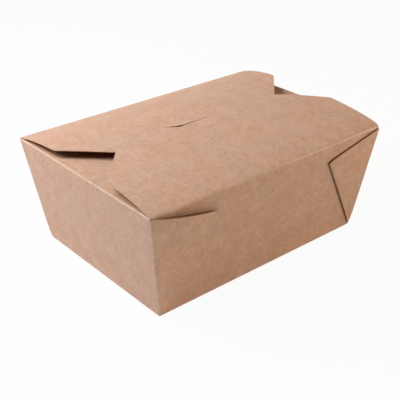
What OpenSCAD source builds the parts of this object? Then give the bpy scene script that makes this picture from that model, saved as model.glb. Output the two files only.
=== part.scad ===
// Takeaway food box, folded from one sheet of kraft board.
// Origin: centre of the base on the table. +X runs along the long side, +Y to the back, +Z up.
// The front flap, the outermost of the four top flaps, is parted at its crease so that it can open.

/* [Box] */
// Length of the base, outside
base_length = 197; // [150:1:240]
// Width of the base, outside
base_width = 140; // [110:1:170]
// Length at the rim, outside
rim_length = 224; // [180:1:260]
// Width at the rim, outside
rim_width = 160; // [130:1:190]
// Height of the rim crease above the table
rim_height = 87; // [60:1:110]
// Thickness of the board
board = 0.5; // [0.3:0.05:0.8]

/* [Corner webs] */
// Air left between the folded layers of a web, and between the web and its wall
web_gap = 0.15; // [0.1:0.05:0.3]
// Depth of a web's top corner below the rim crease
web_drop = 1; // [0.9:0.1:3]
// Fall of the folded web's free tip below its top corner, along the wall
web_fall = 14; // [8:1:20]
// Turn of the glued web in from its true bisector, in degrees
web_turn = 1; // [0:0.1:2]
// Height at the foot of a corner over which the folded layers are pinched together
web_pinch = 16; // [8:1:30]
// Diameter of the glue spot that holds a web to its wall
glue_spot = 12; // [6:1:16]

/* [Large flaps] */
// Length of a large flap from its crease to its free edge
flap_length = 85; // [80:1:95]
// Length of the front flap's straight side, from the crease to the sloping corner
front_side = 48.4; // [35:0.1:60]
// Half length of the front flap's free edge
front_tip = 76; // [60:1:95]
// Length of the back flap's straight side
back_side = 46.3; // [35:0.1:60]
// Half length of the back flap's free edge
back_tip = 72; // [60:1:95]
// How far a straight side tapers in on its way to the sloping corner
flap_taper = 2.1; // [0:0.1:4]
// Length over which a straight side rounds into the sloping corner
flap_corner = 5.6; // [2:0.1:12]
// Inset of a large flap's crease from the end of the rim
flap_inset = 0.3; // [0.3:0.1:2]
// Extra air between the front flap and the back flap where they overlap
flap_air = 0.5; // [0.4:0.1:1.5]

/* [Spring of the lid] */
// Height of the back flap's free edge above the rim crease, at the left
ridge_left = 5.7; // [3:0.1:12]
// Height of the back flap's free edge above the rim crease, at the right
ridge_right = 10.9; // [3:0.1:12]
// How early the front flap rises from its crease: 0 is a straight slope
front_spring = 2.8; // [-2:0.1:6]
// How early the back flap rises from its crease
back_spring = 2.7; // [-2:0.1:6]
// Extra bow of the front flap's middle at the right
front_bow = -1.2; // [-3:0.1:3]
// Extra bow of the back flap's middle at the right
back_bow = 0.9; // [-3:0.1:3]

/* [End flaps] */
// Length of an end flap from its crease to its free edge
end_flap_length = 62; // [40:1:75]
// Half length of an end flap's crease
end_flap_root = 76; // [60:1:78]
// Half length of an end flap's free edge
end_flap_tip = 50; // [30:1:60]
// Radius of an end flap's two free corners
end_flap_corner = 12; // [4:1:20]
// Rise of an end flap's free edge above its crease
end_flap_rise = 0.8; // [0:0.1:2]

/* [Tongue lock] */
// Width of the tongue where it leaves the front flap
tongue_root = 29; // [20:1:40]
// Width of the tongue at its tip
tongue_tip = 20; // [12:1:30]
// Length of the tongue below the front flap
tongue_length = 11; // [6:0.5:14]
// Radius of the tongue's tip corners
tongue_corner = 4; // [1:0.5:6]
// Reach of each sloping end of the slit, along the box
slit_wing = 12.5; // [8:0.5:22]
// Reach of each sloping end of the slit, towards the back
slit_wing_back = 8.6; // [2:0.1:10]
// Opening of the slit behind the tongue
slit_opening = 0.9; // [0.4:0.1:2]

/* [Hidden] */

kraft = "#c99f83";

// Smallest air between the front flap and the rest of the box
air = 0.3;
// Slopes of the walls, as run over rise, from the base to the rim
long_slope = (rim_width - base_width) / 2 / rim_height;
end_slope = (rim_length - base_length) / 2 / rim_height;
long_lean = atan(long_slope);
// Face distance of an end wall's two faces, measured level
end_thick = board * sqrt(1 + end_slope * end_slope);
long_thick = board * sqrt(1 + long_slope * long_slope);
// How far a doubled web stands out from its wall, and the end wall's edge that meets its outer layer
web_stand = 2 * board + 2 * web_gap;
edge_recess = board / 5;
end_edge = (web_stand - edge_recess) * sqrt(1 + long_slope * long_slope);
// The back wall runs up into its flap, and its crease sinks half a board into the sheet
back_wall_top = rim_height - board / 2;
// The overlap of the two large flaps over the middle of the box
front_edge = -rim_width / 2 + flap_length;
overlap = 2 * front_edge;
front_lift = board + flap_air;
// Steps of the bent board: along a large flap's side, its round corner and its slope, and across it
side_steps = 9;
corner_steps = 4;
slope_steps = 7;
cross_steps = 20;
// The steps along the side crowd towards the crease, where the flap bends most
crowding = 1.4;
// Steps of an end flap's side and of its round corner
end_steps = 5;
// Longer than anything in the box, for cutting
far = 400;

// Half length and half width of the box's outer faces at height z
function half_length(z) = base_length / 2 + z * end_slope;
function half_width(z) = base_width / 2 + z * long_slope;

function mix(a, b, t) = a + (b - a) * t;
function reversed(list) = [for (i = [len(list) - 1 : -1 : 0]) list[i]];

// Rise of a sprung flap from 0 at its crease to 1 at its free edge; k bends it towards the crease
function spring(t, k) = abs(k) < 0.001 ? t : (1 - exp(-k * t)) / (1 - exp(-k));

// Levels off the last part of a flap, where the two large flaps lie flat on each other. The bend into
// the level part is as long as easing says, as a share of the flap.
easing = 0.15;
level_to = 1 - overlap / flap_length;
level_from = level_to - easing;
function levelled(t) =
    t < level_from ? t
    : t > level_to ? (level_from + level_to) / 2
    : t - pow(t - level_from, 2) / 2 / easing;
function flap_course(u) = levelled(u / flap_length) / levelled(1);

// How far the right-hand curl has grown at x, from 0 at the left end to 1 at the right
function curl(x) = pow(x / rim_length + 0.5, 2);

// Height of a large flap's upper face above the rim crease, u from its crease
function sprung(x, u, lift, k, bow) =
    let (t = flap_course(u), c = curl(x))
    (mix(ridge_left, ridge_right, c) + lift) * spring(t, k) + 4 * bow * c * t * (1 - t);
function front_height(x, u) = sprung(x, u, front_lift, front_spring, front_bow);
function back_height(x, u) = sprung(x, u, 0, back_spring, back_bow);
function end_height(u) = end_flap_rise * u / end_flap_length;

// The front flap's thickness measured upright, where it is steepest: at its crease, at the right
crease_thick = board * sqrt(1 + pow(front_height(rim_length / 2, 1), 2));
front_wall_top = rim_height - crease_thick - air;
// The end walls and end flaps are creased lower still, to lie under the large flaps
end_drop = 0.2;
end_rim = front_wall_top - end_drop;

// Half length of a large flap at u from its crease: straight side, rounded corner, sloping corner
flap_half = rim_length / 2 - flap_inset;
flap_round = flap_corner / 2;
function past_corner(u, side) =
    u < side - flap_round ? 0
    : u > side + flap_round ? u - side
    : pow(u - side + flap_round, 2) / (4 * flap_round);
function flap_reach(u, side, tip) =
    let (taper = flap_taper / side, slope = (flap_half - flap_taper - tip) / (flap_length - side))
    flap_half - taper * u - (slope - taper) * past_corner(u, side);
function flap_stations(side) = concat(
    [for (i = [0 : side_steps - 1]) (side - flap_round) * pow(i / side_steps, crowding)],
    [for (i = [0 : corner_steps - 1]) side - flap_round + flap_corner * i / corner_steps],
    [for (i = [0 : slope_steps]) mix(side + flap_round, flap_length, i / slope_steps)]
);

// Half length of an end flap at u from its crease: tapering sides and round free corners
function end_reach(u) =
    let (side = mix(end_flap_root, end_flap_tip, u / end_flap_length),
         into = max(0, u - (end_flap_length - end_flap_corner)))
    side - end_flap_corner + sqrt(end_flap_corner * end_flap_corner - into * into);
end_stations = concat(
    [for (i = [0 : end_steps - 1]) (end_flap_length - end_flap_corner) * i / end_steps],
    [for (i = [0 : end_steps])
        end_flap_length - end_flap_corner + end_flap_corner * sin(90 * i / end_steps)]
);

// A sheet one board thick: rows of points on its upper face, each with its twin right below it on the
// lower face, further down where the sheet is steep
module bent_board(rows) {
    n = len(rows);
    m = len(rows[0]);
    function upright(run) = board * sqrt(1 + run[2] * run[2] / (run[0] * run[0] + run[1] * run[1]));
    upper = [for (row = rows) each row];
    lower = [for (i = [0 : n - 1], j = [0 : m - 1])
        rows[i][j] - [0, 0, upright(rows[min(i + 1, n - 1)][j] - rows[max(i - 1, 0)][j])]];
    k = n * m;
    rim_path = concat(
        [for (j = [0 : m - 1]) j],
        [for (i = [1 : n - 1]) i * m + m - 1],
        [for (j = [1 : m - 1]) (n - 1) * m + m - 1 - j],
        [for (i = [1 : n - 2]) (n - 1 - i) * m]
    );
    top_cells = [for (i = [0 : n - 2], j = [0 : m - 2])
        let (a = i * m + j) each [[a, a + m, a + m + 1], [a, a + m + 1, a + 1]]];
    edge_cells = [for (i = [0 : len(rim_path) - 1])
        let (a = rim_path[i], b = rim_path[(i + 1) % len(rim_path)])
        each [[a, b, b + k], [a, b + k, a + k]]];
    bottom_cells = [for (c = top_cells) [c[2] + k, c[1] + k, c[0] + k]];
    polyhedron(concat(upper, lower), concat(top_cells, edge_cells, bottom_cells));
}

// A block with level ends and four plane sides: x0, x1, y0, y1 at its bottom and at its top
module leaning_block(z0, low, z1, high) {
    function ring(b, z) = [[b[0], b[2], z], [b[1], b[2], z], [b[1], b[3], z], [b[0], b[3], z]];
    polyhedron(
        concat(ring(low, z0), ring(high, z1)),
        [[0, 1, 2, 3], [7, 6, 5, 4], [0, 4, 5, 1], [1, 5, 6, 2], [2, 6, 7, 3], [3, 7, 4, 0]]
    );
}

// The space inside the four wall faces, drawn in by dx and dy, between two heights
module wall_space(z0, z1, dx, dy) {
    function at(z) = [-half_length(z) + dx, half_length(z) - dx, -half_width(z) + dy, half_width(z) - dy];
    leaning_block(z0, at(z0), z1, at(z1));
}

// Base and four walls. The end walls run on past the long walls to meet the outer layer of the webs.
module tray() {
    difference() {
        wall_space(0, back_wall_top, 0, -end_edge);
        wall_space(board, rim_height + board, end_thick, long_thick);
        for (side = [0, 1]) {
            mirror([0, side, 0]) web_pocket();
            mirror([side, 0, 0])
                translate([half_length(rim_height) - 2 * end_thick, -far / 2, end_rim - board / 2])
                    cube(far);
        }
        translate([-far / 2, -far, front_wall_top]) cube(far);
    }
}

// The room outside the front wall, between the end walls, where the webs lie
module web_pocket() {
    function at(z) = [-half_length(z) + end_thick, half_length(z) - end_thick, -far, -half_width(z)];
    leaning_block(-board, at(-board), rim_height + board, at(rim_height + board));
}

// Places a drawing on the outer face of the front wall: x along the box, y up the wall
module on_front_wall() {
    translate([0, -base_width / 2, 0]) rotate([90 + long_lean, 0, 0]) children();
}

// A web is the corner panel between two walls. Its fold halves the angle that the four creases at the
// foot of the corner leave over, so that both its sides meet when the walls stand.
wall_rise = rim_height / cos(long_lean);
corner_turn = atan((rim_length - base_length) / 2 / wall_rise);
end_turn = atan((rim_width - base_width) / 2 / (rim_height * sqrt(1 + end_slope * end_slope)));
web_half_angle = (360 - 90 - (90 + corner_turn) - (90 + end_turn)) / 2;
web_fold_angle = web_half_angle - corner_turn + web_turn;
web_foot = [base_length / 2 - end_thick / 2, 0];
web_top_rise = wall_rise - web_drop;
web_top = web_foot + web_top_rise * [tan(corner_turn), 1];
web_tip_rise = web_top_rise - web_fall;
web_tip = web_foot + web_tip_rise * [-tan(web_fold_angle), 1];

// One web on the right of the front wall: two layers with air between them, joined at the fold
module web() {
    past_fold = board * [cos(web_fold_angle), sin(web_fold_angle)];
    translate([0, 0, web_gap]) difference() {
        linear_extrude(web_stand - web_gap) polygon([web_foot, web_top, web_tip]);
        translate([past_fold[0], past_fold[1], board]) linear_extrude(web_gap)
            polygon([web_foot, web_foot + [far, 0], web_top + [far, far], 2 * web_tip - web_foot]);
    }
    glue_at = (web_foot + web_top + web_tip) / 3;
    translate([glue_at[0], glue_at[1], -board / 2])
        cylinder(d = glue_spot, h = board + web_gap, $fn = 48);
}

// The room cut away at the foot of the front corners, where the layers are pinched down to the wall.
// It starts a skin's thickness out from the wall and is clear of the layers at its top.
pinch_skin = board / 20;
pinch_top = 1.2 * web_pinch;
module pinch() {
    function at(z) = [-far, far, -far, -half_width(z) - web_stand * z / web_pinch - pinch_skin];
    leaning_block(-far, at(0), 0, at(0));
    leaning_block(0, at(0), pinch_top, at(pinch_top));
}

// The open box: base, walls and glued webs
module folded_tray() {
    difference() {
        union() {
            tray();
            for (back = [0, 1], left = [0, 1])
                mirror([0, back, 0]) mirror([left, 0, 0])
                    on_front_wall() web();
        }
        for (back = [0, 1]) mirror([0, back, 0]) pinch();
    }
}

// Left or right end flap, lying under the large flaps
module end_flap(side) {
    crease = half_length(end_rim);
    bent_board([for (u = side > 0 ? reversed(end_stations) : end_stations)
        [for (j = [0 : 6])
            [side * (crease - u), mix(-1, 1, j / 6) * -end_reach(u), end_rim + end_height(u)]]]);
}

// Back flap with the slit for the tongue
slit_front = front_edge - board - air - pow(tongue_length, 2) / 2 / flap_length;
slit_back = front_edge + slit_opening;
slit_half = tongue_root / 2 + 1;
module back_flap() {
    difference() {
        bent_board([for (u = flap_stations(back_side))
            [for (j = [0 : cross_steps])
                let (x = mix(1, -1, j / cross_steps) * flap_reach(u, back_side, back_tip))
                [x, rim_width / 2 - u, rim_height + back_height(x, u)]]]);
        translate([0, 0, rim_height])
            linear_extrude(2 * (ridge_left + ridge_right), center = true)
                polygon([
                    [-slit_half - slit_wing, slit_back + slit_wing_back],
                    [-slit_half, slit_front], [slit_half, slit_front],
                    [slit_half + slit_wing, slit_back + slit_wing_back],
                    [slit_half, slit_back], [-slit_half, slit_back]
                ]);
    }
}

// The folded sheet up to the crease of its outermost flap
module carton() {
    color(kraft) {
        folded_tray();
        for (side = [-1, 1]) end_flap(side);
        back_flap();
    }
}

// The tongue, bent down at the free edge of the front flap to pass through the slit
module tongue() {
    root_z = rim_height + front_height(0, flap_length) - board / 2;
    translate([0, front_edge, root_z]) rotate([90, 0, 0])
        linear_extrude(board)
            polygon(concat(
                [[-tongue_root / 2, 0]],
                tip_corner(-1), reversed(tip_corner(1)),
                [[tongue_root / 2, 0]]
            ));
}
function tip_corner(side) = [for (i = [0 : 5])
    let (a = 90 * i / 5)
    [side * (tongue_tip / 2 + tongue_corner * (cos(a) - 1)), -tongue_length + tongue_corner * (1 - sin(a))]];

// The outermost flap, which turns about its crease on the front rim
module front_flap() {
    color(kraft) {
        bent_board([for (u = flap_stations(front_side))
            [for (j = [0 : cross_steps])
                let (x = mix(-1, 1, j / cross_steps) * flap_reach(u, front_side, front_tip))
                [x, -rim_width / 2 + u, rim_height + front_height(x, u)]]]);
        tongue();
    }
}

carton();
front_flap();
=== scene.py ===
import math

import bpy
import numpy as np
from mathutils import Matrix, Vector


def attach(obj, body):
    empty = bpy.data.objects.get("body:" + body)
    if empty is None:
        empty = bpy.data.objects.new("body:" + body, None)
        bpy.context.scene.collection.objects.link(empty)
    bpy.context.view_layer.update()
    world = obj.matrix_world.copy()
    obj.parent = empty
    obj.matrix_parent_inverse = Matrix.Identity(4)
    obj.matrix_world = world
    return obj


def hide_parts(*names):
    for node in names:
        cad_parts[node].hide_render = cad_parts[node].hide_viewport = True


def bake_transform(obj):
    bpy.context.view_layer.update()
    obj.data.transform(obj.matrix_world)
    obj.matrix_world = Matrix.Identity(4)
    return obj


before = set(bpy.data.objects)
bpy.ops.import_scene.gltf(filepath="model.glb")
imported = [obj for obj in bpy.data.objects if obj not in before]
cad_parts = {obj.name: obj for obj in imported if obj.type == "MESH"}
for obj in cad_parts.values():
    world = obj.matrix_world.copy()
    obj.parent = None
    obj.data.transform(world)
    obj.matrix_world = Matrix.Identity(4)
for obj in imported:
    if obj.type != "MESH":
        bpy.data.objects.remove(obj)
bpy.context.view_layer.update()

# ---- Base panel and the crease round it
# The box is one die-cut sheet of unbleached kraft board. Its base panel is flat, and the crease round
# it is rolled rather than sharp, because the board is scored and then bent up on the folding machine.
# Every panel below is worked out on its outer side, in millimetres, and becomes part of that one sheet.
BOARD = 0.5         # thickness
BASE_LENGTH, BASE_WIDTH = 197.0, 140.0
RIM_LENGTH, RIM_WIDTH, RIM = 224.0, 160.0, 87.0
END_SLOPE = (RIM_LENGTH - BASE_LENGTH) / 2 / RIM
LONG_SLOPE = (RIM_WIDTH - BASE_WIDTH) / 2 / RIM
FOOT = 1.1          # height at which the flat part of a wall starts
FOOT_CREASE = 0.5   # how pale the bend round the base is: stretched fibres and a painted highlight
CORNER = 1.25       # how far the crease of an upright corner reaches along each wall
ALONG, ACROSS, ROLL = 44, 32, 6     # columns of a long wall and of an end wall, and steps round a corner
along_share = np.linspace(-1, 1, ALONG + 1)
across_share = np.linspace(-1, 1, ACROSS + 1)


def half_length(z):
    """Half the box's outside length at height z: half the base's length, plus the slope of an end times z."""
    return BASE_LENGTH / 2 + END_SLOPE * z


def half_width(z):
    """Half the box's outside width at height z: half the base's width, plus the slope of a long wall times z."""
    return BASE_WIDTH / 2 + LONG_SLOPE * z


def grid(x, y, z):
    """Points of a panel from its coordinates, each given for the whole grid, for its rows or for its columns."""
    return np.stack(np.broadcast_arrays(x, y, z), -1)


def rolled(start, corner, end, steps):
    """Rounds a sharp corner by a parabola that leaves start towards the corner and arrives at end from it:
    (1-k)^2 start + 2k(1-k) corner + k^2 end, for k from 0 to 1, along a new first axis."""
    k = np.linspace(0, 1, steps + 1).reshape((-1,) + (1,) * np.ndim(start))
    return (1 - k) ** 2 * start + 2 * k * (1 - k) * corner + k ** 2 * end


def ring(half_x, half_y, corner, z):
    """A level ring round the box, counterclockwise from above. Each side is a straight, evenly divided, and a
    rolled corner. The four sides are one side turned by 0, 1, 2 and 3 quarter turns."""
    sides = []
    for turn in range(4):
        hx, hy, share = (half_x, half_y, along_share) if turn % 2 == 0 else (half_y, half_x, across_share)
        straight = np.stack([share * (hx - corner), np.full(share.shape, -hy)], -1)
        bend = rolled(np.array([hx - corner, -hy]), np.array([hx, -hy]), np.array([hx, corner - hy]), ROLL)[1:-1]
        side = np.concatenate([straight, bend])
        c, s = [(1, 0), (0, 1), (-1, 0), (0, -1)][turn]
        sides.append(np.stack([side[:, 0] * c - side[:, 1] * s, side[:, 0] * s + side[:, 1] * c], -1))
    loop = np.concatenate(sides + [sides[0][:1]])
    return np.concatenate([loop, np.full((len(loop), 1), z)], -1)


def panel(points, creased=0.0, painted_shade=0.0):
    """One grid of a sheet, with how pale its creases are (stretched fibres and a painted highlight) and how much
    painted shade it has, from 0 to 1. Seen from the outer side of the board, its columns run to the right and its
    rows upwards."""
    return points, np.broadcast_to(creased, points.shape[:2]), np.broadcast_to(painted_shade, points.shape[:2])


base_x, base_y = BASE_LENGTH / 2 - FOOT, BASE_WIDTH / 2 - FOOT
folded = [panel(grid(along_share[None, :] * base_x, -across_share[:, None] * base_y, 0.0))]
out_up = rolled(np.array([0.0, 0.0]), np.array([1.0, 0.0]), np.array([1.0, 1.0]), ROLL)
grow_x, grow_y = half_length(FOOT) - base_x, half_width(FOOT) - base_y
folded.append(panel(
    np.array([ring(base_x + o * grow_x, base_y + o * grow_y, o * CORNER, h * FOOT) for o, h in out_up]),
    creased=FOOT_CREASE * np.sin(np.linspace(0, np.pi, ROLL + 1))[:, None]))

# ---- Long walls
# Two plain trapezia of board that lean out towards the rim. Their side edges turn back into the folded
# corner webs. The front wall stops just under its rim, where the crease of the front flap carries on.
WEB_TOP = 86.0      # height of a web's cut edge beside the upright corner
WEB_TIP = (56.3, 73.45)     # free corner of a folded web: along the wall, and up its slope
WEB_SHADE = 0.72    # strength of the shade painted on the front wall above the front left web
SHADE_FADE = 5.5    # height over which that shade falls to a third
ROWS, ROW_POWER = 28, 1.3   # rows of a wall, which are closer together at its foot
FRONT_TOP = 0.994   # share of a wall's height at which the front wall stops
FLAP_HALF = 111.7   # half length of a large flap at its crease
LIP_COLS = 16       # columns over the slit and its sloping ends
SLIT_HALF, WING = 15.5, 12.5    # half length of the slit, and of each sloping end, along the box
climb = np.append(np.linspace(0, 1, ROWS) ** ROW_POWER * FRONT_TOP, 1.0)
level = FOOT + climb * (WEB_TOP - FOOT)
side_cols = (ALONG - LIP_COLS) // 2
wing_share = (SLIT_HALF + WING) / FLAP_HALF
rim_share = np.concatenate([np.linspace(-1, -wing_share, side_cols + 1),
                            np.linspace(-1, 1, LIP_COLS + 1)[1:-1] * wing_share,
                            np.linspace(wing_share, 1, side_cols + 1)])


def wall_half(z):
    """Half length of a long wall at height z, up to where it turns back into the webs: less the corner's crease."""
    return half_length(z) - CORNER


def turned_round(points):
    """The same panel on the other side of the box, turned half round the upright axis: x and y change sign."""
    return points * np.array([-1.0, -1.0, 1.0])


def back_share(k):
    """Columns of the back wall: evenly spaced at its foot (k = 0), as the back flap needs them at its rim
    (k = 1), and a mix of the two between."""
    return along_share + (rim_share - along_share) * k


front_wall = grid(along_share[None, :] * wall_half(level[:-1, None]), -half_width(level[:-1, None]), level[:-1, None])
# Shade is painted on the front wall above the front left web: most in the middle of the web's cut edge.
beside = np.clip((-front_wall[..., 0] - WEB_TIP[0]) / (half_length(WEB_TOP) - WEB_TIP[0]), -0.1, 1)
over_web = front_wall[..., 2] - WEB_TIP[1] - (WEB_TOP - WEB_TIP[1]) * beside
web_shade = WEB_SHADE * np.interp(beside, [-0.1, 0, 0.15, 0.5, 0.85, 1], [0, 0.7, 0.8, 1.1, 0.9, 0])
folded.append(panel(front_wall, 0.0, web_shade * np.exp(-abs(over_web) / SHADE_FADE)))
back_wall = grid(-back_share(climb[:, None]) * wall_half(level[:, None]), half_width(level[:, None]), level[:, None])
folded.append(panel(back_wall))

# ---- Corner webs
# At each corner the spare board is folded in two along its middle and glued flat on the outside of the
# long wall, so that the box has no open seam. The outer layer goes on round the corner into the end wall.
# The folded edge springs off the wall, by a different amount at each corner.
WEB_GAP = 0.15      # air between two layers
PINCH = 0.06        # share of the height over which the layers come apart, above the foot
LIFT_POWER = 1.3    # how late along a web its lift comes
BELLY_POWER = 5     # how near to the cut edge the belly stays
TIP_FROM, TIP_POWER = 0.86, 2.5     # where along the cut edge its tip starts to round, and how fast
UNSHADED_FOOT = 0.07     # share of the height, from the foot, over which the painted shade sets in
NOSE_SHADE = 0.35     # how late over the folded edge the painted shade ends
EDGE_SHADE = 1.15     # how much more painted shade the cut edges of a web get than the layers between them
WEB_CREASE = 0.8    # how pale the upright corners are: stretched fibres and a painted highlight
END_TOP = 85.3      # height at which an end wall starts to roll over into its flap
LAYER, NOSE = 14, 8     # columns of a layer, and steps round a folded edge
lean = math.hypot(1, LONG_SLOPE)


def spread(t):
    """How far the layers of a web have come apart at a share t of the corner's height: 1 - exp(-t / PINCH), so
    that they are pinched flat at its foot."""
    return 1 - np.exp(-t / PINCH)


def on_wall(along, up, off):
    """A point given along the front wall, up its slope, and off its outer face: up and off are turned by the
    wall's lean, so that y is -(half base + (slope up + off) / lean) and z is (up - slope off) / lean."""
    return grid(along, -BASE_WIDTH / 2 - (LONG_SLOPE * up + off) / lean, (up - LONG_SLOPE * off) / lean)


def web_strip(foot_lift, tip_lift, belly, rounding, shade_paint):
    """The web at the front right corner. Its rows fan out from the corner's foot. Across a row: a half turn
    off the long wall's edge, the inner layer out to the fold, a half turn back, the outer layer in to the
    corner, and a quarter turn on to the end wall. At a share s of the way to the fold and t of the height, the
    inner layer stands off the wall by the gap, s^LIFT_POWER times a lift that goes evenly from foot_lift to
    tip_lift, and a belly of 4s(1-s) t^BELLY_POWER, all times spread(t). The outer layer lies a board and a gap
    further out. Past s = TIP_FROM, the cut edge drops by a power of s, which rounds its tip."""
    t, z = climb[:, None], level[:, None]
    start, rise = wall_half(z), z * lean
    nose = (BOARD + WEB_GAP / 2) * spread(t)
    away = np.array([rise[0, 0] - WEB_TIP[1], WEB_TIP[0] - start[0, 0]])
    away = away / math.hypot(*away)
    tip_along = start[0] + t * (WEB_TIP[0] - start[0]) - nose * away[0]
    tip_up = rise[0] + t * (WEB_TIP[1] - rise[0]) - nose * away[1]
    s = np.linspace(0, 1, LAYER + 1)[None, :]
    cut = 1 - rounding * np.clip((s - TIP_FROM) / (1 - TIP_FROM), 0, 1) ** TIP_POWER * t
    along, up = start + s * (tip_along - start), (rise + s * (tip_up - rise)) * cut
    lift = s ** LIFT_POWER * (foot_lift + (tip_lift - foot_lift) * t)
    low = (WEB_GAP + lift + 4 * belly * s * (1 - s) * t ** BELLY_POWER) * spread(t)
    turn = np.linspace(0, np.pi, NOSE + 1)[None, 1:-1]
    hinge = WEB_GAP / 2 * spread(t)
    stand = (low + 2 * nose)[:, :1]
    edge = on_wall(start, rise, stand)[:, 0]
    top = FOOT + climb * (END_TOP - FOOT)
    middle = 0.5 * (edge[:, 2] + top)
    reach = half_width(top) + stand[:, 0] * lean
    bend = rolled(edge, grid(half_length(middle), -reach, middle), grid(half_length(top), CORNER - reach, top), ROLL)
    parts = [on_wall(start, rise, 0.0),
             on_wall(start + hinge * np.sin(turn), rise, hinge * (1 - np.cos(turn))),
             on_wall(along, up, low),
             on_wall(tip_along + nose * np.sin(turn) * away[0], up[:, -1:] + nose * np.sin(turn) * away[1],
                     low[:, -1:] + nose * (1 - np.cos(turn))),
             on_wall(along, up, low + 2 * nose)[:, :0:-1],
             np.moveaxis(bend, 0, 1)]
    n = [p.shape[1] for p in parts]
    inside, outer = sum(n[:3]), sum(n[:5])
    # The quarter turn on to the end wall is paler: stretched fibres and a painted highlight.
    creased = np.concatenate([np.zeros(outer), WEB_CREASE * np.sin(np.linspace(0, np.pi, n[5]))])
    # Painted shade darkens the inner layer, the folded edge and the cut edges, where the gaps between the layers are
    # in shade. It sets in just above the foot.
    painted_shade = shade_paint * np.concatenate([np.ones(inside), np.linspace(1, 0, n[3]) ** NOSE_SHADE, np.zeros(n[4] + n[5])])
    painted_shade = painted_shade * np.minimum(1, t / UNSHADED_FOOT)
    painted_shade[-1, inside:outer] = shade_paint * EDGE_SHADE
    return np.concatenate(parts, 1), creased[None, :], painted_shade


# Each web's lift at its foot and tip, belly, rounding of its tip and painted shade, whether it is mirrored to
# the left end, and whether it is then turned round to the back.
for *fold, mirrored, behind in ((0.4, 0.35, 0.0, 0.013, 0.82, False, False),    # front right
                                (0.1, 1.0, 2.1, 0.004, 0.3, True, False),       # front left
                                (0.4, 0.8, 0.0, 0.022, 0.8, False, True),       # back left
                                (0.3, 1.0, 0.6, 0.012, 0.8, True, True)):       # back right
    points, creased, painted_shade = web_strip(*fold)
    if mirrored:        # the columns are put in reverse as well, which keeps the outer side out
        points = (points * np.array([-1.0, 1.0, 1.0]))[:, ::-1]
        creased, painted_shade = creased[:, ::-1], painted_shade[:, ::-1]
    folded.append(panel(turned_round(points) if behind else points, creased, painted_shade))

# ---- End walls and end flaps
# Each end wall runs on round its two corners into the webs' outer layers. At its rim it rolls over into
# an end flap with tapering sides and two round corners, which is folded in first and lies under the lid.
# The outline of the two large flaps is here too, because shade is painted on the left end flap where they cover it.
RIM_ROLL = 1.1      # how far the crease of a rim reaches along a flap
RIM_STEPS = 8       # steps over the crease of a rim
END_RIM = 86.34     # height of an end wall's rim
END_FLAP, END_ROOT, END_TIP = 62.0, 76.0, 50.0      # length of an end flap, and half its width at root and tip
END_CORNER, END_RISE = 12.0, 0.8    # radius of its round corners, and how much higher than its root its tip is
END_EAR, EAR_FADE = 3.0, 2.0        # how much wider it is at its very root, and over what length that goes
END_CREASE = 0.6    # how pale its root is: stretched fibres and a painted highlight
END_BULGE = 1.8     # how far the right end flap's spring lifts its rim in the middle
BULGE_POWER = 4     # how near to its rim the end wall's own bulge stays
BULGE_FADE = 20.0   # length of the flap over which the bulge falls to a third
FLAP, TAPER, ROUND = 85.0, 2.1, 3.6     # large flaps: length, taper of a side, and length of the turn at its end
BACK_SIDE, BACK_TIP = 46.3, 72.0        # back flap: length of a side, and half length of its free edge
FRONT_SIDE, FRONT_TIP = 48.9, 76.0      # front flap: the same
SIDE_SHADE = 0.72   # strength of the shade painted on the left end flap beside and under the side of the front flap
ON_FLAP = 0.01      # an end flap's points are higher than its rim less this


def rounded_tab(u, half, length, corner):
    """Half width at u along a tab whose end has two quarter circles: half - r + sqrt(r^2 - d^2), with r the
    corner's radius and d how far u is into it."""
    return half - corner + np.sqrt(corner ** 2 - np.clip(u - length + corner, 0, corner) ** 2)


def round_rows(length, corner, steps):
    """Rows that divide such a quarter circle evenly: length - r (1 - sin a), with a from 0 to a right angle."""
    return length - corner * (1 - np.sin(np.linspace(0, np.pi / 2, steps + 1)[1:]))


def flap_outline(u, straight, tip):
    """Half length of a large flap at u from its crease: half its root, less the taper's slope times u, less a
    steeper slope times how far u is past the side. A parabola rounds the turn between side and corner."""
    b, taper = ROUND / 2, TAPER / straight
    turned = (u - straight + b) ** 2 / (4 * b)
    past = np.where(u < straight - b, 0, np.where(u > straight + b, u - straight, turned))
    return FLAP_HALF - taper * u - ((FLAP_HALF - TAPER - tip) / (FLAP - straight) - taper) * past


def in_the_dark(points):
    """The shade painted on the points of an end flap. Under the back flap it is 1 from 3 mm in, and it sets in from 6
    to 11 mm behind the middle of the box. Beside and under the front flap's side it is a band that is darkest
    2 mm in and ends 8 mm in, up to 34 mm in front of the middle, where the side turns."""
    x, y, z = np.moveaxis(points, -1, 0)
    under = flap_outline(np.clip(RIM_WIDTH / 2 - y, 0, FLAP), BACK_SIDE, BACK_TIP) - abs(x)
    beside = flap_outline(np.clip(RIM_WIDTH / 2 + y, 0, FLAP), FRONT_SIDE, FRONT_TIP) - abs(x)
    back = np.interp(under, [0, 3], [0, 1]) * np.interp(y, [6, 11], [0, 1])
    front = SIDE_SHADE * np.interp(beside, [-0.6, 2, 4, 8], [0, 1, 0.8, 0]) * np.interp(y, [-42, -34], [1, 0])
    return np.maximum(back, front) * (z > END_RIM - ON_FLAP)


end_level = FOOT + climb * (END_TOP - FOOT)
end_half = half_width(end_level) + 2 * (BOARD + WEB_GAP) * spread(climb) * lean - CORNER
crease_x = half_length(END_RIM)
over = rolled(np.array([half_length(END_TOP), END_TOP]), np.array([crease_x, END_RIM]),
              np.array([crease_x - RIM_ROLL, END_RIM + END_RISE * RIM_ROLL / END_FLAP]), RIM_STEPS)[1:]
over_half = end_half[-1] + (END_ROOT + END_EAR - end_half[-1]) * np.linspace(0, 1, RIM_STEPS + 1)[1:]
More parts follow.
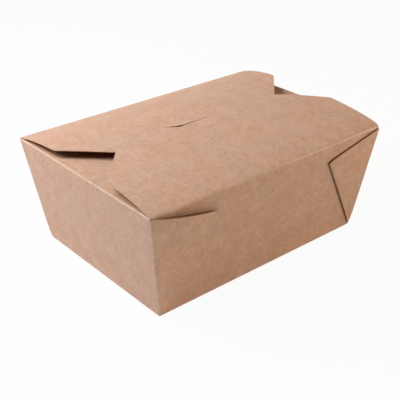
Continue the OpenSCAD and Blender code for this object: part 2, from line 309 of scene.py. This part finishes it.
# Rows along the end flap, closer together at its root, and even round its two corners.
u = np.concatenate([RIM_ROLL + np.array([1.0, 2.2, 4.0]), np.linspace(RIM_ROLL, END_FLAP - END_CORNER, 10)[2:],
                    round_rows(END_FLAP, END_CORNER, 8)])
tapered = END_ROOT + (END_TIP - END_ROOT) * u / END_FLAP + END_EAR * np.exp(-(u - RIM_ROLL) / EAR_FADE)
u_half, u_level = rounded_tab(u, tapered, END_FLAP, END_CORNER), END_RIM + END_RISE * u / END_FLAP
end_panel = np.concatenate([
    grid(half_length(end_level)[:, None], across_share[None, :] * end_half[:, None], end_level[:, None]),
    grid(over[:, :1], across_share[None, :] * over_half[:, None], over[:, 1:]),
    grid((crease_x - u)[:, None], across_share[None, :] * u_half[:, None], u_level[:, None])])
end_crease = np.concatenate([np.zeros(len(climb)), END_CREASE * np.sin(np.linspace(0, np.pi, RIM_STEPS + 1)[1:]),
                             np.zeros(len(u))])[:, None]
left_end = turned_round(end_panel)
folded.append(panel(left_end, end_crease, in_the_dark(left_end)))
# The right end bulges by a parabola across it, which fades down the wall and along the flap.
sprung_up = END_BULGE * (1 - (end_panel[..., 1] / END_ROOT) ** 2)
sprung_up *= np.clip(end_panel[..., 2] / END_RIM, 0, 1) ** BULGE_POWER
inwards = np.maximum(crease_x - end_panel[..., 0], 0) * (end_panel[..., 2] > END_RIM - ON_FLAP)
sprung_up *= np.exp(-inwards / BULGE_FADE)
sprung_up[:len(climb), [0, -1]] = 0     # where the end wall runs on into the webs, nothing moves
end_panel[..., 2] += np.clip(sprung_up, 0, END_BULGE)
folded.append(panel(end_panel, end_crease))

# ---- Back flap
# The first of the two large flaps. It springs up from the rim of the back wall, more at the right than at
# the left. The two ends of its slit slope back, so that a lip of board stands up over the tongue.
RIDGE_LEFT, RIDGE_RIGHT = 5.7, 10.9     # height over the rim of the back flap's free edge, at the left and right end
OVERLAP = 10.0      # how much the two large flaps overlap
EASING = 0.15       # share of the flap over which its rise eases level
BACK_EARLY, BACK_BOW = 2.7, 0.9         # how early the back flap rises, and how much it bows up
SLIT, WING_BACK = 5.9, 8.6              # how far behind the middle the slit is, and how far back its ends slope
LIP_LIFT, LIP_POWER, WING_POWER = 1.4, 0.8, 1.3     # most lift of the lip, and how it dies away along and back


def rightward(x):
    """The square of how far x is along the box, from 0 at its left end to 1 at its right end."""
    return (np.clip(x, -RIM_LENGTH / 2, RIM_LENGTH / 2) / RIM_LENGTH + 0.5) ** 2


def course(u):
    """How far along its rise a flap is at u from its crease, from 0 to 1: even at first, then eased by a
    parabola, and level over the overlap."""
    flat, t = 1 - OVERLAP / FLAP, u / FLAP
    easing = t - (t - flat + EASING) ** 2 / 2 / EASING
    eased = np.where(t < flat - EASING, t, np.where(t > flat, flat - EASING / 2, easing))
    return eased / (flat - EASING / 2)


def sprung(x, u, lift, early, bow):
    """Height of a large flap over the rim: (1 - exp(-early t)) / (1 - exp(-early)) of a ridge that grows
    rightward, and a parabola 4t(1-t) that bows its middle at the right, with t its course."""
    t = course(u)
    ridge = RIDGE_LEFT + (RIDGE_RIGHT - RIDGE_LEFT) * rightward(x) + lift
    return ridge * (1 - np.exp(-early * t)) / (1 - math.exp(-early)) + 4 * bow * rightward(x) * t * (1 - t)


def back_height(x, y):
    """Height of the back flap's upper side above the table: the rim's, and its spring."""
    return RIM + sprung(x, RIM_WIDTH / 2 - y, 0.0, BACK_EARLY, BACK_BOW)


def slit_half(y):
    """Half length at y of the slit and its sloping ends: the slit's, plus the wing's in proportion to how far y
    is back along it."""
    return SLIT_HALF + WING * np.clip((y - SLIT) / WING_BACK, 0, 1)


def lip_lift(x, y):
    """How far the lip behind the slit stands up: its most at the slit's left corner, times a power of how far x
    is from its right end, times a power of how far y is from where its ends stop."""
    share = np.clip(0.5 - 0.5 * x / slit_half(y), 0, 1) ** LIP_POWER
    return LIP_LIFT * share * (1 - np.clip((y - SLIT) / WING_BACK, 0, 1)) ** WING_POWER


# Rows from the crease to the free edge, closer together where the side turns and along the lip.
y = np.concatenate([RIM_WIDTH / 2 - np.array([RIM_ROLL, 1.6]), np.linspace(77.4, 38, 20), np.linspace(36, 29.5, 8),
                    np.linspace(28, SLIT + WING_BACK, 8), np.linspace(SLIT + WING_BACK, SLIT, 9)[1:],
                    np.linspace(SLIT, -OVERLAP / 2, 7)[1:]])
wing_row, slit_row = (int(np.argmin(np.abs(y - at))) for at in (SLIT + WING_BACK, SLIT))
outline = flap_outline(RIM_WIDTH / 2 - y, BACK_SIDE, BACK_TIP)[:, None]
wing = slit_half(y)[:, None]
right = outline + (wing - outline) * np.linspace(0, 1, side_cols + 1)[None, :]
x = np.concatenate([right, -np.linspace(-1, 1, LIP_COLS + 1)[None, 1:-1] * wing, -right[:, ::-1]], 1)
upper = grid(x, y[:, None], back_height(x, y[:, None]))
over = rolled(back_wall[-1], grid(upper[0, :, 0], RIM_WIDTH / 2, RIM), upper[0], RIM_STEPS)[1:-1]
whole = np.concatenate([back_wall[-1:], over, upper[:wing_row + 1]])
rim_crease = np.concatenate([np.sin(np.linspace(0, np.pi, RIM_STEPS + 1)), np.zeros(wing_row)])[:, None]
lip_first, lip_last = side_cols, side_cols + LIP_COLS
lip = upper[wing_row:slit_row + 1, lip_first:lip_last + 1].copy()
lip[..., 2] += lip_lift(lip[..., 0], lip[..., 1])
folded += [panel(whole, rim_crease), panel(upper[wing_row:slit_row + 1, :lip_first + 1]),
           panel(upper[wing_row:slit_row + 1, lip_last:]), panel(lip), panel(upper[slit_row:])]

# ---- Front flap and its tongue
# The outermost flap, which closes last. It lies over the back flap's free edge. The tongue on its own free
# edge slides through the slit and under the lip, and holds the lid shut.
FRONT_LIFT = 0.75   # how far its upper side is above the back flap's
FRONT_EARLY, FRONT_BOW = 2.6, -1.05     # how early it rises, and how much it bows down
KICK, KICK_AT = 0.65, 5.0   # how much more it kicks up at the right, and how far past its crease
JOIN = 1.5          # where the flap itself starts, just past the crease of the rim
TONGUE, TONGUE_ROOT, TONGUE_TIP, TONGUE_CORNER = 11.0, 14.5, 10.0, 4.0      # length, half widths, corner radius
DIVE = 0.9          # length over which the tongue goes down through the slit
LIP_GAP = 0.06      # air between the tongue and the lip


def front_height(x, y):
    """Height of the front flap's upper side above the table: the rim's, its spring, and a kick of k exp(1 - k)
    that grows rightward, with k how far it is from the crease in units of KICK_AT."""
    u = RIM_WIDTH / 2 + y
    kick = KICK * rightward(x) * u / KICK_AT * np.exp(1 - u / KICK_AT)
    return RIM + sprung(x, u, FRONT_LIFT, FRONT_EARLY, FRONT_BOW) + kick


# Rows from the crease to the free edge, closer together at the crease and where the side turns.
y = np.concatenate([-RIM_WIDTH / 2 + JOIN + np.linspace(0, 1, 16) ** ROW_POWER * 42, np.linspace(-35, -28, 9),
                    np.linspace(-26, OVERLAP / 2, 18)])
outline = flap_outline(RIM_WIDTH / 2 + y, FRONT_SIDE, FRONT_TIP)[:, None]
left = -outline + (outline - TONGUE_ROOT) * np.linspace(0, 1, side_cols + 1)[None, :]
middle = np.linspace(-1, 1, LIP_COLS + 1)[None, :]
x = np.concatenate([left, np.repeat(middle[:, 1:-1] * TONGUE_ROOT, len(y), 0), -left[:, ::-1]], 1)
flap_panels = [panel(grid(x, y[:, None], front_height(x, y[:, None])))]
v = np.concatenate([np.linspace(0, DIVE, 4), np.linspace(1.5, TONGUE - TONGUE_CORNER, 8),
                    round_rows(TONGUE, TONGUE_CORNER, 7)])[:, None]
narrowed = TONGUE_ROOT + (TONGUE_TIP - TONGUE_ROOT) * v / TONGUE
tongue_x = middle * rounded_tab(v, narrowed, TONGUE, TONGUE_CORNER)
tongue_y = OVERLAP / 2 + v
start_lift = lip_lift(tongue_x, SLIT) - BOARD - LIP_GAP
under_lip = lip_lift(tongue_x, tongue_y) - BOARD - LIP_GAP
drop = np.where(v < DIVE, FRONT_LIFT + (start_lift - FRONT_LIFT) * v / DIVE, under_lip)
flap_panels.append(panel(grid(tongue_x, tongue_y, back_height(tongue_x, tongue_y) + drop)))

# ---- Crease of the front flap
# The rolled strip of board over the front rim, where the flap hinges. Its score
# is stretched most at the right, where the flap springs up most.
# Its paleness is partly the stretched score and partly a painted highlight.
CREASE_MIDDLE, CREASE_SIDE = 0.95, 0.45     # how pale it is in the middle, and how much more at the right end
strip_up = np.array([level[-2], 0.5 * (level[-2] + WEB_TOP), WEB_TOP])[:, None]
share = x[0] / outline[0]
lower = grid(share[None, :] * wall_half(strip_up), -half_width(strip_up), strip_up)
end_u = np.array([RIM_ROLL, JOIN])[:, None]
end_x, end_y = share[None, :] * flap_outline(end_u, FRONT_SIDE, FRONT_TIP), -RIM_WIDTH / 2 + end_u
landing = grid(end_x, end_y, front_height(end_x, end_y))
over = rolled(lower[-1], grid(landing[0, :, 0], -RIM_WIDTH / 2, RIM), landing[0], RIM_STEPS)[1:-1]
# How pale each row is: a little at the top of the wall, most over the rim, and not at all on the flap.
row_paleness = np.concatenate([[0.1, 0.4], np.sin(np.linspace(0, np.pi, RIM_STEPS + 1)), [0]])[:, None]
crease_panels = [panel(np.concatenate([lower, over, landing]), row_paleness * (CREASE_MIDDLE + CREASE_SIDE * share))]

# ---- Kraft board
# Unbleached kraft board, calendered but uncoated: matt, with a faint sheen at a low angle. Long pulp fibres
# give it a fine browner and paler grain, shives give it specks, and the uneven bed of pulp a soft mottle.
# Creases are stretched and paler, with a painted highlight on top. Painted shade makes what lies between layers, in
# gaps and under the flaps darker and browner.
# Sizes of the patterns in metres. Mottle and clouds have their real size. Real fibres are 3 mm long but
# 0.03 mm wide and real specks are 0.5 mm, too fine to show, so these two are drawn as coarse as they need.
MOTTLE, CLOUD, FIBRE, SPECK = 0.011, 0.03, 0.003, 0.0016
SHEEN = 0.25                    # low, so that the board doesn't shine where it faces a lamp
MATT = (0.62, 0.74)             # roughness in the dips and on the tops of the grain
GRAIN_HEIGHT = 0.00006          # metres
PALE, DARK = 0.6, 0.8           # how strongly the pale creases and the painted shade show
RELIEF = 0.35                   # how strongly that height shows
NOISE_RANGE = (0.3, 0.7)        # where most of a noise pattern's values lie
CLOUD_RANGE = (0.38, 0.62)      # narrower, so that the two tones of the board part more clearly
SPECK_RANGE = (0.66, 0.76)      # only the highest values, so that specks are few
SPECK_SHARE = (0.0, 0.45)       # how much of a speck's colour shows
MOTTLED = (0.95, 0.94, 0.92, 1), (1.05, 1.06, 1.08, 1)          # what the mottle multiplies a colour by
GRAINED = (0.92, 0.905, 0.87, 1), (1.08, 1.095, 1.13, 1)        # what the grain multiplies it by


def linear(code):
    """An sRGB hex colour as linear light: ((c + 0.055) / 1.055)^2.4, or c / 12.92 for the darkest."""
    c = np.array([int(code[i:i + 2], 16) / 255 for i in (1, 3, 5)])
    return tuple(np.where(c <= 0.04045, c / 12.92, ((c + 0.055) / 1.055) ** 2.4)) + (1.0,)


def add(tree, kind, inputs, **settings):
    """Adds a node. Each input is a value, or the socket that is linked to it."""
    node = tree.nodes.new(kind)
    for name, value in settings.items():
        setattr(node, name, value)
    for name, value in inputs.items():
        if isinstance(value, bpy.types.NodeSocket):
            tree.links.new(value, node.inputs[name])
        else:
            node.inputs[name].default_value = value
    return node


def noise(tree, place, size, detail, roughness=0.5):
    """A noise pattern whose largest blobs are about size metres, from about 0.3 to 0.7."""
    return add(tree, "ShaderNodeTexNoise", {"Vector": place, "Scale": 1 / size, "Detail": detail,
                                            "Roughness": roughness}).outputs[0]


def ranged(tree, value, low_high, out=(0.0, 1.0)):
    """A value that goes evenly from out's first to its last as the given one goes from low to high."""
    return add(tree, "ShaderNodeMapRange", {"Value": value, "From Min": low_high[0], "From Max": low_high[1],
                                            "To Min": out[0], "To Max": out[1]}).outputs[0]


def mixed(tree, factor, first, second, blend="MIX"):
    """Two colours, mixed by the factor or multiplied."""
    return add(tree, "ShaderNodeMix", {"Factor": factor, 6: first, 7: second}, data_type="RGBA",
               blend_type=blend).outputs[2]


def stored_amount(tree, name, strength):
    """A value that is stored on the sheet's points, times how strongly it shows."""
    stored = add(tree, "ShaderNodeAttribute", {}, attribute_name=name)
    return add(tree, "ShaderNodeMath", {0: stored.outputs["Fac"], 1: strength}, operation="MULTIPLY").outputs[0]


def kraft(name, face, blotch, fleck, crease, shade_paint):
    """Board of one colour: face and blotch mixed in clouds, flecks, pale creases with a painted highlight and the
    painted shade laid over them, and all of it multiplied by the mottle and the grain. The grain also gives
    roughness and relief."""
    material = bpy.data.materials.new(name)
    material.use_nodes = True
    tree = material.node_tree
    surface = tree.nodes["Principled BSDF"]
    surface.inputs["Specular IOR Level"].default_value = SHEEN
    place = add(tree, "ShaderNodeTexCoord", {}).outputs["Object"]
    fibre = noise(tree, place, FIBRE, 2.0, 0.55)
    tone = ranged(tree, noise(tree, place, MOTTLE, 3.0, 0.55), NOISE_RANGE)
    mottled = mixed(tree, tone, *MOTTLED)
    grained = mixed(tree, ranged(tree, fibre, NOISE_RANGE), *GRAINED)
    warm = ranged(tree, noise(tree, place, CLOUD, 2.0), CLOUD_RANGE)
    dots = ranged(tree, noise(tree, place, SPECK, 1.0), SPECK_RANGE, SPECK_SHARE)
    ground = mixed(tree, warm, linear(face), linear(blotch))
    flecked = mixed(tree, dots, ground, linear(fleck))
    paler = mixed(tree, stored_amount(tree, "creased", PALE), flecked, linear(crease))
    darker = mixed(tree, stored_amount(tree, "painted_shade", DARK), paler, linear(shade_paint))
    soft = mixed(tree, 1.0, darker, mottled, "MULTIPLY")
    tree.links.new(mixed(tree, 1.0, soft, grained, "MULTIPLY"), surface.inputs["Base Color"])
    tree.links.new(ranged(tree, fibre, NOISE_RANGE, MATT), surface.inputs["Roughness"])
    bump = add(tree, "ShaderNodeBump", {"Height": fibre, "Strength": RELIEF, "Distance": GRAIN_HEIGHT})
    tree.links.new(bump.outputs[0], surface.inputs["Normal"])
    return material


# The last two colours are the creases' paler tone, partly a painted highlight, and the painted shade.
board_face = kraft("uncoated_kraft_board", "#c49f86", "#c69d82", "#a97f5f", "#e6c6ae", "#74491f")
board_edge = kraft("cut_edge_of_kraft_board", "#bd9270", "#bd9270", "#9a7250", "#e6c6ae", "#74491f")

# ---- The folded sheet, its front flap and the crease between them
# One sheet of board, parted at the crease of the front flap, which moves. Each of the three is its panels
# joined where they meet, with the board's thickness inwards and cut edges of their own, rawer colour.
CELLS, SHIFT = 500, 0.137       # points in one cell of 1/500 mm are joined, and no row lies on a cell's border
SHARP = 38                      # degrees between two faces from which the edge between them is sharp


def board_piece(name, panels, body):
    """Joins panels where they meet, gives the sheet the board's thickness inwards along its normals, closes
    its cut edges, and makes the piece. A point's normal is the sum of its faces' normals by their areas."""
    quads, count = [], 0
    for points, _, _ in panels:
        n, m = points.shape[:2]
        i = count + np.arange((n - 1) * m).reshape(n - 1, m)[:, :-1].ravel()
        quads.append(np.stack([i, i + 1, i + m + 1, i + m], -1))
        count += n * m
    quads = np.concatenate(quads)
    points = np.concatenate([p[0].reshape(-1, 3) for p in panels])
    stored_marks = [np.concatenate([p[k].ravel() for p in panels]) for k in (1, 2)]
    _, first, same = np.unique(np.round(points * CELLS + SHIFT), axis=0, return_index=True, return_inverse=True)
    points, quads = points[first], same.ravel()[quads]
    # A quad with two joined corners is a triangle, and one with more of them vanishes.
    twins = quads == np.roll(quads, -1, 1)
    flat = twins.sum(1) == 1
    whole = quads[twins.sum(1) == 0]
    triangles = quads[flat][~twins[flat]].reshape(-1, 3)
    a, b, c = (points[triangles[:, k]] for k in range(3))
    d = [points[whole[:, k]] for k in range(4)]
    normal = np.zeros_like(points)
    np.add.at(normal, whole.ravel(), np.repeat(np.cross(d[2] - d[0], d[3] - d[1]), 4, 0))
    np.add.at(normal, triangles.ravel(), np.repeat(np.cross(b - a, c - a), 3, 0))
    normal /= np.maximum(np.linalg.norm(normal, axis=1, keepdims=True), 1e-12)
    # An edge that only one face uses is a cut edge, and gets a face across the board's thickness.
    edges = np.concatenate([np.stack([f[:, k], f[:, (k + 1) % f.shape[1]]], -1)
                            for f in (whole, triangles) for k in range(f.shape[1])])
    _, back, n_used = np.unique(np.sort(edges, 1), axis=0, return_inverse=True, return_counts=True)
    open_edges = edges[n_used[back.ravel()] == 1]
    k = len(points)
    rim = np.concatenate([open_edges[:, ::-1], open_edges + k], 1)
    faces = [f.tolist() for f in (whole, triangles, whole[:, ::-1] + k, triangles[:, ::-1] + k, rim)]
    mesh = bpy.data.meshes.new(name)
    mesh.from_pydata((np.concatenate([points, points - BOARD * normal]) / 1000).tolist(), [], sum(faces, []))
    # The two stored values are the creases' paleness, partly a painted highlight, and the painted shade.
    for label, values in zip(("creased", "painted_shade"), stored_marks):
        stored = mesh.attributes.new(label, "FLOAT", "POINT")
        stored.data.foreach_set("value", np.tile(values[first], 2).astype(np.float32))
    mesh.materials.append(board_face)
    mesh.materials.append(board_edge)
    finish = np.repeat([0, 1], [len(mesh.polygons) - len(rim), len(rim)])
    mesh.polygons.foreach_set("material_index", finish.astype(np.int32))
    mesh.polygons.foreach_set("use_smooth", np.ones(len(mesh.polygons), bool))
    mesh.set_sharp_from_angle(angle=math.radians(SHARP))
    mesh.validate()
    piece = bpy.data.objects.new(name, mesh)
    bpy.context.scene.collection.objects.link(piece)
    if body:
        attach(piece, body)
    return piece


carton = board_piece("folded_sheet", folded, "carton")
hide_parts("carton")
flap = board_piece("front_flap_panel", flap_panels, "front_flap")
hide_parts("front_flap")
crease = board_piece("front_flap_crease", crease_panels, None)
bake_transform(crease)

# ---- Table and background
# A plain white sweep in a white room. The camera sees both white. The sweep keeps a faint soft shadow of the
# box, as a small share of it is seen as matt paper. All that lights the box is a dim room and the lamps.
SWEEP = 6.0         # metres from the middle to its edge
SEEN_WHITE = 0.95   # share of the sweep that the camera sees as plain white
ROOM = 0.07         # strength of the room's own light
table_mesh = bpy.data.meshes.new("sweep")
table_mesh.from_pydata([(-SWEEP, -SWEEP, 0), (SWEEP, -SWEEP, 0), (SWEEP, SWEEP, 0), (-SWEEP, SWEEP, 0)], [],
                       [(0, 1, 2, 3)])
table = bpy.data.objects.new("sweep", table_mesh)
bpy.context.scene.collection.objects.link(table)
paper = bpy.data.materials.new("white_sweep")
paper.use_nodes = True
tree = paper.node_tree
tree.nodes.clear()
ray = add(tree, "ShaderNodeLightPath", {})
seen = add(tree, "ShaderNodeMath", {0: ray.outputs["Is Camera Ray"], 1: SEEN_WHITE}, operation="MULTIPLY")
matt = add(tree, "ShaderNodeBsdfDiffuse", {"Color": linear("#d6d5d3")})
white = add(tree, "ShaderNodeEmission", {"Color": (1, 1, 1, 1), "Strength": 1.0})
mix = add(tree, "ShaderNodeMixShader", {0: seen.outputs[0], 1: matt.outputs[0], 2: white.outputs[0]})
add(tree, "ShaderNodeOutputMaterial", {"Surface": mix.outputs[0]})
table_mesh.materials.append(paper)

world = bpy.data.worlds.new("studio")
bpy.context.scene.world = world
world.use_nodes = True
tree = world.node_tree
tree.nodes.clear()
ray = add(tree, "ShaderNodeLightPath", {})
seen = add(tree, "ShaderNodeMath", {0: ray.outputs["Is Camera Ray"], 1: ray.outputs["Is Transmission Ray"]},
           operation="MAXIMUM")
clear_ray = add(tree, "ShaderNodeMath", {0: seen.outputs[0], 1: ray.outputs["Is Glossy Ray"]}, operation="MAXIMUM")
room = add(tree, "ShaderNodeBackground", {"Color": linear("#ffffff"), "Strength": ROOM})
clear = add(tree, "ShaderNodeBackground", {"Color": (1, 1, 1, 1), "Strength": 1.0})
mix = add(tree, "ShaderNodeMixShader", {0: clear_ray.outputs[0], 1: room.outputs[0], 2: clear.outputs[0]})
add(tree, "ShaderNodeOutputWorld", {"Surface": mix.outputs[0]})

# ---- Lamps
# Plain soft studio light. The key is a soft box above the carton and behind it, at the left. A low strip in
# front, at the right, lights the long wall, and a weak one at the front left the corner there. A cool lamp
# behind at the left and a warm one at the right tint the slopes of the lid and the end walls a little.
AIM = Vector((0, 0, 0.05))      # where they all point
for name, place, wide, tall, power, tint in (
        ("key", (-0.45, 0.4, 0.6), 0.5, 0.5, 8.5, "#fbfeff"),
        ("front", (0.7, -1.05, 0.12), 1.2, 0.2, 8.4, "#fff6ea"),
        ("corner", (-0.9, -0.95, 0.08), 0.6, 0.12, 0.35, "#fff3e6"),
        ("left", (-0.95, 0.95, 0.62), 0.7, 0.5, 7.0, "#b4caff"),
        ("right", (0.95, -0.25, 0.5), 0.6, 0.4, 4.0, "#ffdab4")):
    lamp = bpy.data.lights.new(name, "AREA")
    lamp.shape = "RECTANGLE"
    lamp.size, lamp.size_y, lamp.energy, lamp.color = wide, tall, power, linear(tint)[:3]
    holder = bpy.data.objects.new(name, lamp)
    holder.location = place
    holder.rotation_euler = (AIM - Vector(place)).to_track_quat("-Z", "Y").to_euler()
    bpy.context.scene.collection.objects.link(holder)

# ---- Camera
# At the photograph's angle: to the front left of the box and above it, with a long lens.
AZIMUTH, ELEVATION, TILT = math.radians(-40.64), math.radians(28.61), math.radians(0.28)
LOOK_AT, DISTANCE = Vector((-0.0202, -0.0209, 0.0435)), 0.6138      # metres
FOCAL, PICTURE = 811.2, 400     # focal length and width of the picture, in pixels
SENSOR = 36.0                   # millimetres
camera = bpy.data.cameras.new("camera")
camera.sensor_width, camera.lens = SENSOR, FOCAL / PICTURE * SENSOR
viewer = bpy.data.objects.new("camera", camera)
bpy.context.scene.collection.objects.link(viewer)
bpy.context.scene.camera = viewer
level_out = math.cos(ELEVATION)
back = Vector((math.sin(AZIMUTH) * level_out, -math.cos(AZIMUTH) * level_out, math.sin(ELEVATION)))
right = (-back).cross(Vector((0, 0, 1))).normalized()
up = right.cross(-back)
across = math.cos(TILT) * right + math.sin(TILT) * up
upward = math.cos(TILT) * up - math.sin(TILT) * right
turned = Matrix((across, upward, back)).transposed().to_4x4()
viewer.matrix_world = Matrix.Translation(LOOK_AT + back * DISTANCE) @ turned
bpy.context.scene.view_settings.view_transform = "Standard"
